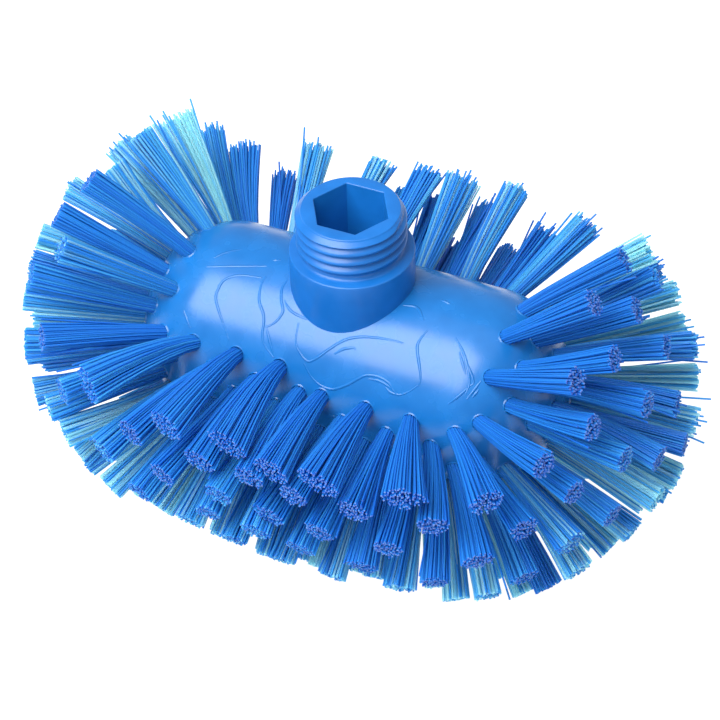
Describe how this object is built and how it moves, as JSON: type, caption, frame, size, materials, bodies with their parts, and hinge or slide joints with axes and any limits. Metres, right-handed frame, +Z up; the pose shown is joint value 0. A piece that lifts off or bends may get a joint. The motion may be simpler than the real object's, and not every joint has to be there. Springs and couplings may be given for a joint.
{
  "type": "tank brush",
  "caption": "Oval tank cleaning brush head: a moulded block with bristles over its sides, ends and belly, and a threaded neck with a hexagon socket for a handle.",
  "frame": {"origin": "on the surface the brush stands on, under the middle of its box and under the neck", "axes": "+X along the block, its longest way; +Y to the back; +Z up along the neck"},
  "size_m": [0.205, 0.1323, 0.1153],
  "materials": {
    "block_plastic": "moulded polypropylene, soft gloss with flow marks",
    "neck_plastic": "moulded polypropylene, satin",
    "bristle": "straight translucent polyester filament, cut ends"
  },
  "bodies": {
    "root": {"brush_block": "block_plastic", "threaded_neck": "neck_plastic", "bristle_column_01": "bristle", "bristle_column_02": "bristle", "bristle_column_03": "bristle", "bristle_column_04": "bristle", "bristle_column_05": "bristle", "bristle_column_06": "bristle", "bristle_column_07": "bristle", "bristle_column_08": "bristle", "bristle_column_09": "bristle", "bristle_column_10": "bristle", "bristle_column_11": "bristle", "bristle_column_12": "bristle", "bristle_column_13": "bristle", "bristle_column_14": "bristle", "bristle_ring_left_1": "bristle", "bristle_ring_left_2": "bristle", "bristle_ring_right_1": "bristle", "bristle_ring_right_2": "bristle", "bristle_cap_left": "bristle", "bristle_cap_right": "bristle"}
  },
  "joints": []
}
